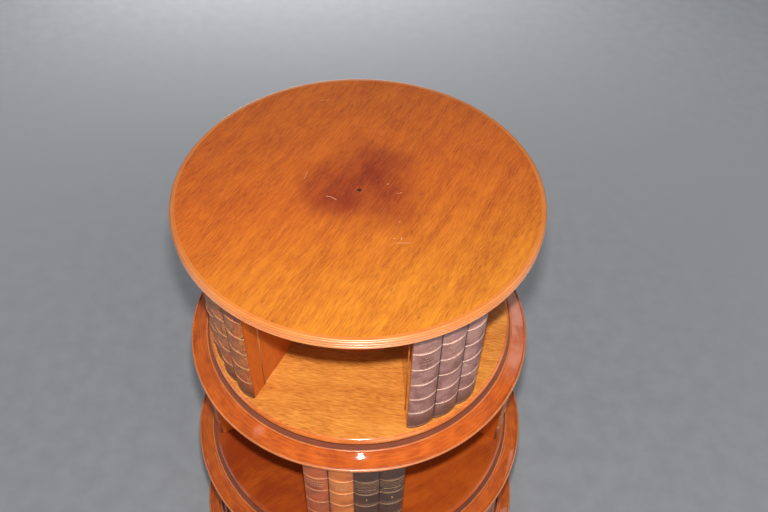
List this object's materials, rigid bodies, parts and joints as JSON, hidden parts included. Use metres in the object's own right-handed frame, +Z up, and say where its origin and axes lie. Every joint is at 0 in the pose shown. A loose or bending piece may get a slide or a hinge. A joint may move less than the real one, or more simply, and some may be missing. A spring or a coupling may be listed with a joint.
{
  "type": "revolving bookcase",
  "caption": "Round revolving bookcase: drum tiers with open bays between piers of leather book spines, each tier turning on the one below, on a plinth with bun feet.",
  "frame": {"origin": "centre of the footprint on the ground, on the axis of the spindle", "axes": "+Z up along the spindle, the front of the object towards -Y"},
  "size_m": [0.6338, 0.6338, 0.953],
  "materials": {
    "top_veneer": "polished",
    "moulding_mahogany": "polished",
    "shelf_mahogany": "polished",
    "carcase_mahogany": "satin",
    "plinth_mahogany": "polished",
    "backing_wood": "raw",
    "dark_plug": "polished",
    "leather_plum": "satin",
    "leather_marbled": "satin",
    "leather_tan": "satin",
    "leather_charcoal": "satin",
    "gilt": "satin",
    "brass": "machined",
    "steel": "machined"
  },
  "bodies": {
    "base": {"base_board": "moulding_mahogany", "foot_1": "plinth_mahogany", "foot_2": "plinth_mahogany", "foot_3": "plinth_mahogany", "foot_4": "plinth_mahogany", "lower_bottom_race_screws": "steel", "lower_turntable_bottom_race": "steel", "plinth": "plinth_mahogany", "spindle": "steel", "spindle_flange": "steel", "spindle_flange_screws": "steel", "spindle_nut": "steel", "spindle_washer": "steel"},
    "lower_tier": {"lower_backing_boards": "backing_wood", "lower_board": "moulding_mahogany", "lower_books_1": "leather_plum", "lower_books_2": "leather_charcoal", "lower_books_3": "leather_tan", "lower_books_4": "leather_marbled", "lower_bush": "brass", "lower_cheek_panels": "carcase_mahogany", "lower_drum": "carcase_mahogany", "lower_floor": "shelf_mahogany", "lower_stiles": "carcase_mahogany", "lower_top_race_screws": "steel", "lower_turntable_balls": "steel", "lower_turntable_top_race": "steel", "middle_bottom_race_screws": "steel", "middle_turntable_bottom_race": "steel"},
    "middle_tier": {"middle_backing_boards": "backing_wood", "middle_board": "moulding_mahogany", "middle_books_1": "leather_tan", "middle_books_2": "leather_marbled", "middle_books_3": "leather_plum", "middle_books_4": "leather_tan", "middle_bush": "brass", "middle_cheek_panels": "carcase_mahogany", "middle_drum": "carcase_mahogany", "middle_floor": "shelf_mahogany", "middle_stiles": "carcase_mahogany", "middle_top_race_screws": "steel", "middle_turntable_balls": "steel", "middle_turntable_top_race": "steel", "upper_bottom_race_screws": "steel", "upper_turntable_bottom_race": "steel"},
    "upper_tier": {"table_top": "top_veneer", "top_plug": "dark_plug", "upper_backing_boards": "backing_wood", "upper_books_1": "leather_plum", "upper_books_2": "leather_tan", "upper_books_3": "leather_charcoal", "upper_books_4": "leather_marbled", "upper_bush": "brass", "upper_cheek_panels": "carcase_mahogany", "upper_drum": "carcase_mahogany", "upper_floor": "shelf_mahogany", "upper_stiles": "carcase_mahogany", "upper_top_race_screws": "steel", "upper_turntable_balls": "steel", "upper_turntable_top_race": "steel"}
  },
  "joints": [
    {"name": "lower_turn", "type": "hinge", "parent": "base", "child": "lower_tier", "pos_m": [0, 0, 0.1325], "axis": [0, 0, 1], "continuous": true},
    {"name": "middle_turn", "type": "hinge", "parent": "lower_tier", "child": "middle_tier", "pos_m": [0, 0, 0.4085], "axis": [0, 0, 1], "continuous": true},
    {"name": "upper_turn", "type": "hinge", "parent": "middle_tier", "child": "upper_tier", "pos_m": [0, 0, 0.6845], "axis": [0, 0, 1], "continuous": true}
  ]
}
